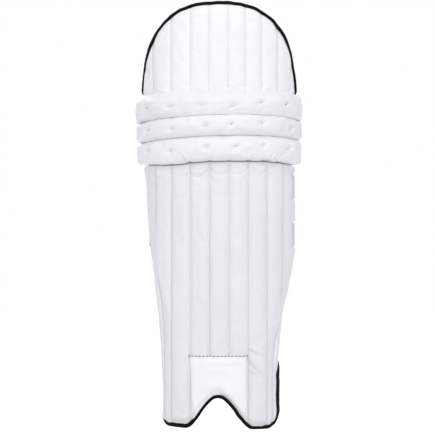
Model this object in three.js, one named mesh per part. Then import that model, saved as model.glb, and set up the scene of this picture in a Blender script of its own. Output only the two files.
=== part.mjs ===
// A cricket leg pad: a quilted shin panel with wrapping wings, three knee rolls, a thigh flap and
// three straps. Every piece is a thin or padded layer bent round the leg, so each one is laid out on
// a flat pattern (s = distance round the leg from the centre line, z = height, w = distance out from
// the pad's middle surface) and then wrapped. Millimetres, +Z up, the front faces -Y.
import * as THREE from 'three';
import { mergeVertices } from 'three/addons/utils/BufferGeometryUtils.js';

// ---- Driving dimensions -------------------------------------------------------------------------
const PAD_HEIGHT = 700;          // floor to the top of the thigh flap

// Plan of the middle surface: a wide front arc, a tighter arc each side, then a straight wing.
const FRONT_RADIUS = 200;
const FRONT_HALF_ARC = 70;       // length of front arc each side of the centre line
const ANKLE_HALF_ARC = 60;
const CALF_RADIUS = 76;
const ANKLE_RADIUS = 48;
const FLAP_RADIUS = 79;
const WING_TURN = THREE.MathUtils.degToRad(87);
const ANKLE_TOP = 150;           // the ankle plan holds up to here ...
const CALF_BOTTOM = 300;         // ... and the calf plan from here up
const FLARE_BOTTOM = 560;
const FLARE_TOP = 620;

// Channels of the shin and flap.
const CHANNEL_COUNT = 9;
const CHANNEL_WIDTH = 31;
const SHIN_THICKNESS = 12;
const FLAP_THICKNESS = 9;
const WING_THICKNESS = 5;        // the outermost channel thins to this
const SEAM_THICKNESS = 2.5;      // padding left at a seam
const SEAM_GAP = 1.2;            // room for the stitch line between two fillings

// Outline of the shin panel.
const WING_EDGE_LOW = 116;       // s of the wing's edge round the ankle
const LEFT_WING = { edge: 168, bottom: 150, top: 500 };
const RIGHT_WING = { edge: 172, bottom: 140, top: 290 };
const NOTCH_HEIGHT = 52;         // instep notch over the boot
const NOTCH_HALF_WIDTH = 60;
const FOOT_FLAT_END = 95;        // the feet of the panel are flat out to here
const CORNER_RISE = 20;

// Outline of the thigh flap.
const FLAP_EDGE = 158;
const FLAP_HEIGHT = 149;         // above the middle of the upper roll's top line
const FLAP_ROUNDNESS = 2.38;

// Lines between the knee rolls, lowest first: height at the crown, and how far each end drops.
const ROLL_LINES = [
  { crown: 439, leftDrop: 8, rightDrop: 9 },
  { crown: 481, leftDrop: 15, rightDrop: 9 },
  { crown: 515, leftDrop: 15, rightDrop: 12 },
  { crown: 553, leftDrop: 8, rightDrop: 5 },
];
const ROLL_CROWN_AT = 40;        // the rolls bow upwards, highest a little right of centre
const ROLL_HALF_LENGTH = 165;
const ROLL_FRONT_DEPTH = 27;
const ROLL_SIDE_DEPTH = 19;
const ROLL_SIDE_AT = 120;        // s at which the roll has thinned to its side depth
const ROLL_GAP = 0.8;            // between two rolls, and between a roll and its neighbour panel
const ROLL_END_STARTS = 0.8;     // share of its half length where a roll's end begins
const ROLL_END_SHARE = 0.5;      // height left at the very end of a roll
const ROLL_ROUNDNESS = 2.4;
const ROLL_FILLING_GAP = 0.8;    // between a roll's cover and its filling

// Skins, trim and the clearance between touching layers.
const SKIN = 0.8;
const CLEARANCE = 0.3;
const BINDING_WIDTH = 5;
const BINDING_GAP = 0.9;
const BINDING_FRONT = 8;
const PATCH_HALF_WIDTH = 46.5;
const PATCH_TOP = 119;
const BOLSTER_DEPTH = 14;
const BOLSTER_INSET = 2.5;       // in from the seams each side of it
const BOLSTER_END_SHARE = 0.5;   // depth left at its ends
const CUSHION_HALF_WIDTH = 55;
const CUSHION_DEPTH = 12;
const CUSHION_INSET = 4;
const SEATING = 0.6;             // soft pieces laid on a faceted skin

// Straps.
const STRAP_WIDTH = 38;
const STRAP_THICKNESS = 1.6;
const TAPE_THICKNESS = 0.7;
const STRAP_SEATING = STRAP_WIDTH / 42;   // a flat strap end stands off the curved wing by its width
const TAB_LENGTH = 16;           // sewn inside the wing ...
const TAB_OVERHANG = 6;          // ... and standing out past its edge
const TAPE_LENGTH = 30;
const TURN = 8;                  // room the strap needs to turn round the wing's edge
const TAPE_MARGIN = 2;           // strap left bare each side of its hook tape
const STRAPS = [
  { name: 'ankle', height: 158, outside: false, back: 104, sideX: 58, sideY: 92 },
  { name: 'calf', height: 318, outside: true, back: 122, sideX: 66, sideY: 110 },
  { name: 'knee', height: 398, outside: true, back: 122, sideX: 66, sideY: 113 },
];

// Sampling of the pattern.
const CHANNEL_STEPS = [0, 0.15, 0.5, 0.85, 1];
const SHIN_ROWS = [0, 0.04, 0.14, 0.27, 0.4, 0.55, 0.7, 0.85, 1];
const FLAP_ROWS = [0, 0.25, 0.5, 0.75, 1];
const ROLL_STEPS = [0, 0.14, 0.28, 0.42, 0.56, 0.69, 0.8, 0.89, 0.96, 1];
const ROLL_ROWS = 6;
const STRAP_STEPS = 30;

// ---- Materials ----------------------------------------------------------------------------------
const finish = (color, roughness) => new THREE.MeshStandardMaterial({ color, roughness, metalness: 0 });
const WHITE_PU = { color: 0xf4f3f7, roughness: 0.45 };
const SHIN_PU = { color: 0xe9e8ed, roughness: 0.5 };
const LINING = { color: 0xd9dadf, roughness: 0.9 };
const BLACK_PU = { color: 0x080707, roughness: 0.5 };
const FOAM = { color: 0xe8e2cf, roughness: 1 };
const WEBBING = { color: 0xe6e6ea, roughness: 0.85 };
const TAPE = { color: 0xcfcfd4, roughness: 1 };

const pad = new THREE.Group();

// ---- Wrapping -----------------------------------------------------------------------------------
const ease = (t) => THREE.MathUtils.smoothstep(t, 0, 1);
const mix = THREE.MathUtils.lerp;
const rise = (value, from, to) => THREE.MathUtils.clamp((value - from) / (to - from), 0, 1);

// Side radius and front arc length at a height.
function planSizes(z) {
  const calf = rise(z, ANKLE_TOP, CALF_BOTTOM);
  const flare = rise(z, FLARE_BOTTOM, FLARE_TOP);
  return {
    radius: mix(ANKLE_RADIUS, CALF_RADIUS, calf) + flare * (FLAP_RADIUS - CALF_RADIUS),
    halfArc: mix(ANKLE_HALF_ARC, FRONT_HALF_ARC, calf),
  };
}

// A pattern point bent round the leg.
function wrap(s, z, w) {
  const { radius, halfArc } = planSizes(z);
  const length = Math.abs(s);
  const frontTurn = Math.min(length, halfArc) / FRONT_RADIUS;
  const sideTurn = Math.min(Math.max(length - halfArc, 0) / radius, WING_TURN - frontTurn);
  const turn = frontTurn + sideTurn;
  const straight = Math.max(length - halfArc - sideTurn * radius, 0);
  const x = FRONT_RADIUS * Math.sin(frontTurn)
    + radius * (Math.sin(turn) - Math.sin(frontTurn)) + straight * Math.cos(turn);
  const y = FRONT_RADIUS * (1 - Math.cos(frontTurn))
    + radius * (Math.cos(frontTurn) - Math.cos(turn)) + straight * Math.sin(turn);
  const side = Math.sign(s);
  return new THREE.Vector3(side * (x + w * Math.sin(turn)), y - w * Math.cos(turn), z);
}

// A box with the given number of columns and rows, each corner moved to place(column, row, outer).
// The back's quads are split along the same diagonals as the front's, so nested layers stay parallel.
function layer(name, look, columns, rows, place) {
  const box = new THREE.BoxGeometry(1, 1, 1, columns, rows, 1);
  const back = box.groups[5];
  for (let i = back.start; i < back.start + back.count; i += 6) {
    const [a, b, d, , c] = box.index.array.slice(i, i + 6);
    box.index.array.set([a, b, c, a, c, d], i);
  }
  const points = box.attributes.position;
  for (let i = 0; i < points.count; i += 1) {
    const column = Math.round((points.getX(i) + 0.5) * columns);
    const row = Math.round((points.getY(i) + 0.5) * rows);
    const spot = place(column, row, points.getZ(i) > 0);
    points.setXYZ(i, spot.x, spot.y, spot.z);
  }
  box.deleteAttribute('normal');
  box.deleteAttribute('uv');
  const solid = mergeVertices(box, 1e-4);
  if (signedVolume(solid) < 0) {
    solid.index.array.reverse();
  }
  solid.computeVertexNormals();
  const mesh = new THREE.Mesh(solid, finish(look.color, look.roughness));
  mesh.name = name;
  pad.add(mesh);
  return mesh;
}

function signedVolume(geometry) {
  const corner = [0, 1, 2].map(() => new THREE.Vector3());
  let volume = 0;
  for (let i = 0; i < geometry.index.count; i += 3) {
    corner.forEach((point, k) => {
      point.fromBufferAttribute(geometry.attributes.position, geometry.index.getX(i + k));
    });
    volume += corner[0].dot(corner[1].clone().cross(corner[2])) / 6;
  }
  return volume;
}

// ---- Lines of the pattern -----------------------------------------------------------------------
const SHIN_TOP = ROLL_LINES[0];
const FLAP_BASE = ROLL_LINES[3];
const LAST_SEAM = CHANNEL_WIDTH * (CHANNEL_COUNT / 2 - 1);

// Height of a line between rolls at s.
function rollLine(line, s) {
  const left = s < ROLL_CROWN_AT;
  const span = ROLL_HALF_LENGTH + (left ? ROLL_CROWN_AT : -ROLL_CROWN_AT);
  const drop = left ? line.leftDrop : line.rightDrop;
  return line.crown - drop * ((s - ROLL_CROWN_AT) / span) ** 2;
}

function wingEdge(side, z) {
  const wing = side < 0 ? LEFT_WING : RIGHT_WING;
  return mix(WING_EDGE_LOW, wing.edge, ease(rise(z, wing.bottom, wing.top)));
}

// The instep notch, a flat foot each side of it, and the rounded corners.
function footLine(s) {
  const notch = NOTCH_HEIGHT * (1 - ease(Math.abs(s) / NOTCH_HALF_WIDTH));
  const corner = Math.max(Math.abs(s) - FOOT_FLAT_END, 0) / (WING_EDGE_LOW - FOOT_FLAT_END);
  return notch + CORNER_RISE * corner ** 2;
}

// Columns of the quilted panels: every channel's own steps, seam to seam.
const COLUMNS = [];
for (let channel = 0; channel < CHANNEL_COUNT; channel += 1) {
  const steps = channel === 0 ? CHANNEL_STEPS : CHANNEL_STEPS.slice(1);
  steps.forEach((step) => COLUMNS.push({ channel, step }));
}

// s of a column, where the outermost channels run out to the panel's edge.
function columnS({ channel, step }, edges) {
  const seam = (channel - CHANNEL_COUNT / 2) * CHANNEL_WIDTH;
  const start = channel === 0 ? -edges.left : seam;
  const end = channel === CHANNEL_COUNT - 1 ? edges.right : seam + CHANNEL_WIDTH;
  return mix(start, end, step);
}

// A point of the shin panel, with its bottom and wing edges drawn in by inset.
function shinSpot(column, row, inset) {
  const edgesAt = (z) => ({ left: wingEdge(-1, z) - inset, right: wingEdge(1, z) - inset });
  const footS = columnS(column, edgesAt(0));
  const slope = (footLine(footS + 1) - footLine(footS - 1)) / 2;
  const bottom = footLine(footS) + inset * Math.hypot(1, slope);
  const topS = columnS(column, edgesAt(SHIN_TOP.crown));
  const z = mix(bottom, rollLine(SHIN_TOP, topS) - ROLL_GAP / 2, row);
  return { s: columnS(column, edgesAt(z)), z };
}

// A point of the thigh flap: an arch over the upper roll's top line.
function flapSpot(column, row, inset) {
  const edge = FLAP_EDGE - inset;
  const s = columnS(column, { left: edge, right: edge });
  const share = Math.min(Math.abs(wrap(s, FLARE_TOP, 0).x / wrap(edge, FLARE_TOP, 0).x), 1);
  const arch = (1 - share ** FLAP_ROUNDNESS) ** (1 / FLAP_ROUNDNESS);
  const bottom = rollLine(FLAP_BASE, s) + ROLL_GAP / 2;
  const top = PAD_HEIGHT - FLAP_HEIGHT + (FLAP_HEIGHT - inset) * arch;
  return { s, z: mix(bottom, Math.max(top, bottom + BINDING_WIDTH), row) };
}

// Thickness of the padding at a column: full along a channel's middle, thin at its seams.
function padding(column, full) {
  const across = Math.abs(2 * column.step - 1);
  const crown = (1 - across ** ROLL_ROUNDNESS) ** (1 / ROLL_ROUNDNESS);
  const outermost = column.channel === 0 || column.channel === CHANNEL_COUNT - 1;
  return mix(SEAM_THICKNESS, outermost ? WING_THICKNESS : full, crown);
}

// How far a channel's first and last columns are drawn in from its seams.
function fromSeam({ step }, distance) {
  return step % 1 === 0 ? Math.sign(0.5 - step) * distance : 0;
}

const PANEL_INSET = BINDING_WIDTH + BINDING_GAP;

// ---- Quilted panels -----------------------------------------------------------------------------
// Front cover, lining and one filling per channel. firstRow lets a filling stop above the foot.
function quiltedPanel(panel, look, rows, spot, full, firstRow) {
  const at = (column, row, w, inset = PANEL_INSET) => {
    const { s, z } = spot(column, row, inset);
    return wrap(s, z, w);
  };
  layer(`${panel}_face_cover`, look, COLUMNS.length - 1, rows.length - 1, (i, j, outer) => {
    const inside = padding(COLUMNS[i], full) + CLEARANCE;
    return at(COLUMNS[i], rows[j], outer ? inside + SKIN : inside);
  });
  layer(`${panel}_lining`, LINING, COLUMNS.length - 1, rows.length - 1, (i, j, outer) => (
    at(COLUMNS[i], rows[j], outer ? -CLEARANCE : -CLEARANCE - SKIN)
  ));
  for (let channel = 0; channel < CHANNEL_COUNT; channel += 1) {
    const kept = rows.slice(firstRow(channel));
    const node = `${panel}_filling_${channel + 1}`;
    layer(node, FOAM, CHANNEL_STEPS.length - 1, kept.length - 1, (i, j, outer) => {
      const column = { channel, step: CHANNEL_STEPS[i] };
      const { s, z } = spot(column, kept[j], PANEL_INSET + SEAM_GAP);
      return wrap(s + fromSeam(column, SEAM_GAP / 2), z, outer ? padding(column, full) : 0);
    });
  }
}

const LEFT_WING_FIRST_ROW = 5;   // the outermost fillings stop where the wing is cut away
const RIGHT_WING_FIRST_ROW = 4;
quiltedPanel('shin', SHIN_PU, SHIN_ROWS, shinSpot, SHIN_THICKNESS, (channel) => {
  if (channel === 0) {
    return LEFT_WING_FIRST_ROW;
  }
  return channel === CHANNEL_COUNT - 1 ? RIGHT_WING_FIRST_ROW : 0;
});
quiltedPanel('thigh', WHITE_PU, FLAP_ROWS, flapSpot, FLAP_THICKNESS, () => 0);

// Binding folded over the free edge of a panel: a strip between the outline and its inset line.
function binding(name, path, spot, front) {
  layer(name, BLACK_PU, path.length - 1, 1, (i, j, outer) => {
    const { s, z } = spot(path[i].column, path[i].row, j === 0 ? 0 : BINDING_WIDTH);
    return wrap(s, z, outer ? front : -CLEARANCE - SKIN);
  });
}

const LEFT_EDGE = COLUMNS[0];
const RIGHT_EDGE = COLUMNS[COLUMNS.length - 1];
binding('shin_binding', [
  ...SHIN_ROWS.slice(1).reverse().map((row) => ({ column: LEFT_EDGE, row })),
  ...COLUMNS.map((column) => ({ column, row: 0 })),
  ...SHIN_ROWS.slice(1).map((row) => ({ column: RIGHT_EDGE, row })),
], shinSpot, BINDING_FRONT);
binding('thigh_binding', COLUMNS.map((column) => ({ column, row: 1 })), flapSpot, BINDING_FRONT);

// The instep patch lies flat across the channels, above the notch.
const PATCH_W = SHIN_THICKNESS + CLEARANCE + SKIN + CLEARANCE;
const patchColumns = COLUMNS.filter((column) => (
  Math.abs(columnS(column, { left: WING_EDGE_LOW, right: WING_EDGE_LOW })) <= PATCH_HALF_WIDTH
));
layer('instep_patch', WHITE_PU, patchColumns.length - 1, 3, (i, j, outer) => {
  const { s, z } = shinSpot(patchColumns[i], SHIN_ROWS[j], PANEL_INSET);
  return wrap(s, j === 3 ? PATCH_TOP : z, outer ? PATCH_W + SKIN : PATCH_W);
});

// Two soft bolsters run down the leg side and hold the shin off the panel.
for (const [name, channel] of [['inner_bolster', 2], ['outer_bolster', 6]]) {
  const kept = SHIN_ROWS.slice(3, -1);
  layer(name, FOAM, CHANNEL_STEPS.length - 1, kept.length - 1, (i, j, outer) => {
    const column = { channel, step: CHANNEL_STEPS[i] };
    const { s, z } = shinSpot(column, kept[j], PANEL_INSET);
    const base = -CLEARANCE - SKIN - CLEARANCE;
    const end = j === 0 || j === kept.length - 1 ? BOLSTER_END_SHARE : 1;
    const depth = end * padding(column, BOLSTER_DEPTH);
    return wrap(s + fromSeam(column, BOLSTER_INSET), z, outer ? base : base - depth);
  });
}

// ---- Knee rolls ---------------------------------------------------------------------------------
const rollSteps = [...ROLL_STEPS.slice(1).reverse().map((step) => -step), ...ROLL_STEPS];
const dome = (t) => Math.max(1 - Math.abs(t) ** ROLL_ROUNDNESS, 0) ** (1 / ROLL_ROUNDNESS);

// A point of a roll's outline, drawn in by inset, and its dome's height there.
function rollSpot(low, high, step, across, inset) {
  const endShare = ease(rise(Math.abs(step), ROLL_END_STARTS, 1));
  const s = Math.sign(step) * (Math.abs(step) * ROLL_HALF_LENGTH - inset * endShare);
  const bottom = rollLine(low, s) + ROLL_GAP / 2;
  const top = rollLine(high, s) - ROLL_GAP / 2;
  const blunt = mix(ROLL_END_SHARE, 1, Math.sqrt(1 - Math.abs(step) ** 10));
  const half = ((top - bottom) / 2) * blunt - inset;
  const depth = mix(ROLL_FRONT_DEPTH, ROLL_SIDE_DEPTH, ease(rise(Math.abs(s), 0, ROLL_SIDE_AT))) - inset;
  const height = depth * dome(across) * (1 - step ** 14) ** (1 / 4);
  return { s, z: (top + bottom) / 2 + half * across, height };
}

for (const [index, roll] of ['lower', 'middle', 'upper'].entries()) {
  const low = ROLL_LINES[index];
  const high = ROLL_LINES[index + 1];
  const columns = rollSteps.length - 1;
  const across = (j) => Math.sin(((j / ROLL_ROWS) - 0.5) * Math.PI);
  const fillInset = SKIN + ROLL_FILLING_GAP;
  layer(`${roll}_roll_cover`, WHITE_PU, columns, ROLL_ROWS, (i, j, outer) => {
    const { s, z, height } = rollSpot(low, high, rollSteps[i], across(j), outer ? 0 : SKIN);
    return wrap(s, z, height);
  });
  layer(`${roll}_roll_filling`, FOAM, columns, ROLL_ROWS, (i, j, outer) => {
    const { s, z, height } = rollSpot(low, high, rollSteps[i], across(j), fillInset);
    return wrap(s, z, outer ? Math.max(height, 2 * CLEARANCE) : 0);
  });
  layer(`${roll}_roll_backing`, LINING, columns, 1, (i, j, outer) => {
    const { s, z } = rollSpot(low, high, rollSteps[i], 2 * j - 1, 0);
    return wrap(s, z, outer ? -CLEARANCE : -CLEARANCE - SKIN);
  });
  const cushionSteps = [-1, -0.85, -0.5, 0, 0.5, 0.85, 1];
  layer(`${roll}_knee_cushion`, FOAM, cushionSteps.length - 1, 4, (i, j, outer) => {
    const s = cushionSteps[i] * CUSHION_HALF_WIDTH;
    const v = Math.sin((j / 4 - 0.5) * Math.PI);
    const middle = (rollLine(low, s) + rollLine(high, s)) / 2;
    const half = (rollLine(high, s) - rollLine(low, s)) / 2 - CUSHION_INSET;
    const base = -CLEARANCE - SKIN - SEATING;
    const depth = CUSHION_DEPTH * mix(0.25, 1, dome(v) * dome(cushionSteps[i]));
    return wrap(s, middle + half * v, outer ? base : base - depth);
  });
}

// ---- Straps -------------------------------------------------------------------------------------
// Each strap is sewn to a tab inside the left wing, passes behind the leg and is pressed on to a
// patch of loop tape on the right wing: outside it at the knee and calf, inside it at the ankle.
const INSIDE_FACE = -CLEARANCE - SKIN;
const WING_FACE = WING_THICKNESS + CLEARANCE + SKIN;

for (const strap of STRAPS) {
  const { name, height, outside, back, sideX, sideY } = strap;
  const leftEdge = wingEdge(-1, height);
  const rightEdge = wingEdge(1, height);
  const bar = (node, look, length, along, size) => layer(node, look, length, 1, (i, j, outer) => {
    const spot = along(i);
    const z = height + (j - 0.5) * size.width;
    return new THREE.Vector3(
      spot.x + (outer ? spot.out.x * size.deep : 0),
      spot.y + (outer ? spot.out.y * size.deep : 0),
      z,
    );
  });
  const onWing = (s, w) => {
    const spot = wrap(s, height, w);
    const out = wrap(s, height, w + 1).sub(spot);
    return { x: spot.x, y: spot.y, out };
  };

  // Anchor tab on the lining of the left wing.
  const tabBase = INSIDE_FACE - STRAP_SEATING - STRAP_THICKNESS;
  const tabS = (i) => -mix(leftEdge - TAB_LENGTH, leftEdge + TAB_OVERHANG, i / 3);
  const webbing = { width: STRAP_WIDTH, deep: STRAP_THICKNESS };
  bar(`${name}_strap_tab`, WEBBING, 3, (i) => onWing(tabS(i), tabBase), webbing);

  // Loop tape on the right wing, with the hook tape and the strap's end stacked on it.
  const direction = outside ? 1 : -1;
  const face = outside ? WING_FACE : INSIDE_FACE;
  const tapeStart = rightEdge - BINDING_WIDTH - TAPE_LENGTH - 1;
  const stack = (level) => face + direction * (STRAP_SEATING + level * (TAPE_THICKNESS + CLEARANCE));
  const tapeS = (i) => tapeStart + (i / 4) * TAPE_LENGTH;
  const tapeAt = (w) => (i) => onWing(tapeS(i), outside ? w : w - TAPE_THICKNESS);
  const loop = { width: STRAP_WIDTH, deep: TAPE_THICKNESS };
  const hook = { width: STRAP_WIDTH - 2 * TAPE_MARGIN, deep: TAPE_THICKNESS };
  bar(`${name}_loop_tape`, TAPE, 4, tapeAt(stack(0)), loop);
  bar(`${name}_hook_tape`, TAPE, 4, tapeAt(stack(1)), hook);

  // The strap's middle line: from the tab, round the back of the leg, to the tape.
  const half = STRAP_THICKNESS / 2;
  const rootS = -(leftEdge + TAB_OVERHANG + CLEARANCE);
  const root = wrap(rootS, height, tabBase + half);
  const beyond = wrap(rootS - TAB_OVERHANG, height, tabBase + half);
  const onTape = stack(2) + direction * half;
  const turnRound = outside
    ? [[TURN / 2, INSIDE_FACE - TURN / 2], [TURN, TURN / 4], [TURN / 2, onTape + 1]]
    : [[TURN, onTape - TURN / 2], [1, onTape - 1]];
  const line = new THREE.CatmullRomCurve3([
    root,
    beyond,
    new THREE.Vector3(-sideX, sideY, height),
    new THREE.Vector3(0, back, height),
    new THREE.Vector3(sideX, sideY, height),
    ...turnRound.map(([past, w]) => wrap(rightEdge + past, height, w)),
    ...[4, 3, 2, 1, 0].map((i) => wrap(tapeS(i), height, onTape)),
  ], false, 'centripetal');
  bar(`${name}_strap`, WEBBING, STRAP_STEPS, (i) => {
    const spot = line.getPoint(i / STRAP_STEPS);
    const along = line.getTangent(i / STRAP_STEPS);
    const out = new THREE.Vector3(-along.y, along.x, 0);
    return { x: spot.x - out.x * half, y: spot.y - out.y * half, out };
  }, webbing);
}

// The pad's own origin: on the floor, under the middle of its box.
const box = new THREE.Box3().setFromObject(pad);
const centre = box.getCenter(new THREE.Vector3());
pad.children.forEach((mesh) => mesh.geometry.translate(-centre.x, -centre.y, -box.min.z));

export default pad;
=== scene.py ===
import math

import bpy
import numpy as np
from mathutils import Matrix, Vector


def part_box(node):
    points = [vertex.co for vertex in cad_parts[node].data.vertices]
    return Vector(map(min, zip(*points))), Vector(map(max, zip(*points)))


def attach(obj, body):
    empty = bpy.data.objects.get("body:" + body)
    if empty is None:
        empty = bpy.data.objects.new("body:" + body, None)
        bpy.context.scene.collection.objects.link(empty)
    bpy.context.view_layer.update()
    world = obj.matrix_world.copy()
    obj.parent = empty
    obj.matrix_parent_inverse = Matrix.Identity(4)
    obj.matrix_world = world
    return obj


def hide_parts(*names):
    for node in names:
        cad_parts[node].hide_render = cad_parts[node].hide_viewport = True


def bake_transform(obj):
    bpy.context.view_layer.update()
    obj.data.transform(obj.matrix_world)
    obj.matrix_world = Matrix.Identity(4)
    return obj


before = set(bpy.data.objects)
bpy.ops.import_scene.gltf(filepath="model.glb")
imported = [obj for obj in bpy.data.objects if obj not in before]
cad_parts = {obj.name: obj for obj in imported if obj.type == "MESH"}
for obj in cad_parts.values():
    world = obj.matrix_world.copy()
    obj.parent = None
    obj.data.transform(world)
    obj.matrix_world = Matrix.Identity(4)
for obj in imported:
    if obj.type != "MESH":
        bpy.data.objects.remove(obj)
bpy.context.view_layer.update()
scene = bpy.context.scene
scene.view_settings.view_transform = "Standard"

# ---- Studio -------------------------------------------------------------------------------------
# The pad stands on a plain pale floor in a white room: one broad soft lamp above and in front of
# it, a weaker one to its right, and a long lens at the middle of its height.
MM = 0.001
CAMERA = {"place": (-0.003, -4.058, 0.3468), "lens": 203, "far": 20}
FLOOR_CORNERS = [(-3, -5, 0), (3, -5, 0), (3, 5, 0), (-3, 5, 0)]
FLOOR_GLOW = 0.6


def colour(code):
    """Linear RGBA of an sRGB hex colour."""
    parts = [int(code[i:i + 2], 16) / 255 for i in (0, 2, 4)]
    return (*[c / 12.92 if c <= 0.04045 else ((c + 0.055) / 1.055) ** 2.4 for c in parts], 1)


def node(tree, kind, inputs={}, **settings):
    """Adds a node. Inputs go by name or number, each a value, or the socket or the node whose
    first output feeds it."""
    made = tree.nodes.new(kind)
    for name, value in settings.items():
        setattr(made, name, value)
    for key, value in inputs.items():
        if isinstance(value, bpy.types.Node):
            value = value.outputs[0]
        if isinstance(value, bpy.types.NodeSocket):
            tree.links.new(value, made.inputs[key])
        else:
            made.inputs[key].default_value = value
    return made


def material(name):
    """An empty node material and its tree."""
    made = bpy.data.materials.new(name)
    made.use_nodes = True
    made.node_tree.nodes.clear()
    return made, made.node_tree


def seen_directly(tree):
    """1 where the camera or a reflection looks, 0 for the light that falls on the pad."""
    path = node(tree, "ShaderNodeLightPath")
    return node(tree, "ShaderNodeMath", {0: path.outputs["Is Camera Ray"],
                                         1: path.outputs["Is Glossy Ray"]},
                operation="MAXIMUM")


def add(name, data):
    """A new object in the scene."""
    made = bpy.data.objects.new(name, data)
    scene.collection.objects.link(made)
    return made


world = bpy.data.worlds.new("white room")
scene.world = world
world.use_nodes = True
room = world.node_tree
room.nodes.clear()
soft = node(room, "ShaderNodeBackground", {"Color": colour("FAFAFF"), "Strength": 0.72})
white = node(room, "ShaderNodeBackground", {"Color": (1, 1, 1, 1), "Strength": 1.0})
mixed = node(room, "ShaderNodeMixShader",
             {0: seen_directly(room), 1: soft, 2: white})
node(room, "ShaderNodeOutputWorld", {0: mixed})


def lamp(name, place, target, size, power, code="FFFFFF"):
    """A square soft lamp at place that shines on target."""
    data = bpy.data.lights.new(name, "AREA")
    data.size, data.energy, data.color = size, power, colour(code)[:3]
    made = add(name, data)
    made.location = place
    made.rotation_euler = (Vector(target) - Vector(place)).to_track_quat("-Z", "Y").to_euler()


lamp("overhead_lamp", (0.05, -1.5, 2.0), (0, 0, 0.35), size=1.6, power=16, code="FFFEFB")
lamp("front_lamp", (0.3, -2.7, 0.2), (0, 0, 0.25), size=1.2, power=7.5)
lamp("rear_lamp", (-0.7, 2.3, 1.5), (0, 0, 0.35), size=1.2, power=17)

floor_mesh = bpy.data.meshes.new("floor")
floor_mesh.from_pydata(FLOOR_CORNERS, [], [(0, 1, 2, 3)])
floor = add("floor", floor_mesh)
# Matt paper: it keeps the pad's shadow, and a glow lets it fade into the white of the room.
paper, tree = material("matt white paper floor")
glow = node(tree, "ShaderNodeMath", {0: seen_directly(tree), 1: FLOOR_GLOW}, operation="MULTIPLY")
lit = node(tree, "ShaderNodeBsdfDiffuse", {"Color": colour("F2F2F2")})
shine = node(tree, "ShaderNodeEmission", {"Color": (1, 1, 1, 1), "Strength": glow})
both = node(tree, "ShaderNodeAddShader", {0: lit, 1: shine})
node(tree, "ShaderNodeOutputMaterial", {"Surface": both})
floor_mesh.materials.append(paper)

camera_data = bpy.data.cameras.new("camera")
camera_data.lens = CAMERA["lens"]
camera_data.clip_end = CAMERA["far"]
camera = add("camera", camera_data)
camera.location = CAMERA["place"]
camera.rotation_euler = (math.radians(90), 0, 0)
scene.camera = camera

# ---- Shin panel ---------------------------------------------------------------------------------
# The long front of the pad: white coated cloth over nine stuffed channels, sewn through to the
# lining along eight straight lines. Its wings are cut away above the ankle, and its foot has a
# notch over the boot. All lengths are millimetres of the flat pattern: s round the leg from the
# centre line, z up, w out from the panel's middle layer. Seen from the front, side -1 is the left.
FRONT_RADIUS = 200
ANKLE = {"radius": 48, "arc": 60, "top": 150}
CALF = {"radius": 76, "arc": 70, "bottom": 300}
THIGH = {"radius": 79, "bottom": 560, "top": 620}
WING_TURN = math.radians(87)
FRONT_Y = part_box("shin_lining")[0].y / MM - 0.3
CHANNEL_WIDTH = 31.0
SEAMS = CHANNEL_WIDTH * np.arange(-3.5, 4)
STEPS = 10    # columns of points to a channel
CHANNEL = np.arange(9 * STEPS + 1) / STEPS
CHANNEL[84:86] = 8.41, 8.455    # two columns just inside the ends of the strap tapes
LEAST_CHANNEL = 16    # an outer channel that would be narrower draws its inner seam in
FOOT_EDGE = {-1: 114, 1: 110}
WINGS = {-1: (168, 150, 500), 1: (172, 112, 290)}    # reach, and the heights it grows between
NOTCH = {"height": 53.3, "apex": -2.5, "left": 55, "right": 58}
CORNERS = {-1: {"starts": 75, "rise": 18, "lift": 3.4}, 1: {"starts": 73, "rise": 20, "lift": 0.0}}
ROLL_LINES = [(439, 8, 9), (481, 15, 9), (515, 15, 12), (553, 8, 5)]    # crown, drop left, right
ROLL_CROWN_AT = 40
ROLL_HALF = 165
ROLL_DIP = {"at": -75, "width": 35, "depth": 3.5}
FLEX = {"pivot_y": 7.5, "half_turn": math.radians(4)}    # of the hinges below and between rolls
STRAP_HEIGHTS = {"ankle": 158, "calf": 318, "knee": 398}
TAPE_SEAT = {"from": 133.4, "to": 135, "half": 23, "height": 2.9}
BINDING_WIDTH = 5.0
EDGE_HEIGHT = 4.6
EDGE_THINS = {-1: (20, 40), 1: (92, 124)}    # heights between which each wing's edge thins out
SHIN_THICKNESS = 12.0
WING_THICKNESS = {-1: 5.6, 1: 7.2}
WING_FILL = {    # at a height, how much thicker the wing is stuffed
    -1: [(0, -2.0), (60, -1.8), (96, 0.6), (145, 3.8), (175, 4.0), (210, 4.4), (243, 2.8),
         (285, 0.4), (395, 0), (425, 3.4)],
    1: [(0, 0), (90, 0), (113, 4.4), (140, 5.4), (165, 2.8), (188, -0.6), (215, 0), (240, 1.3),
        (285, 2.6), (405, 3.0), (418, 1.8), (432, 1.2)]}
# Creases that run out from the patch's right seam: height, slope, reach, depth.
PATCH_PULLS = [(130, 0.55, 74, 2.2), (110, 1.15, 78, 3.1), (94, 0.6, 70, 1.5)]
SHIN_ROWS = 150

mix = lambda a, b, t: a + (b - a) * t
rise = lambda value, start, end: np.clip((value - start) / (end - start), 0, 1)
ease = lambda t: np.clip(t, 0, 1) ** 2 * (3 - 2 * np.clip(t, 0, 1))
bump = lambda value, middle, width: np.exp(-((value - middle) / width) ** 2)
ramp = lambda value, start, end: ease(rise(value, start, end))
rng = np.random.default_rng(11)


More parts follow.
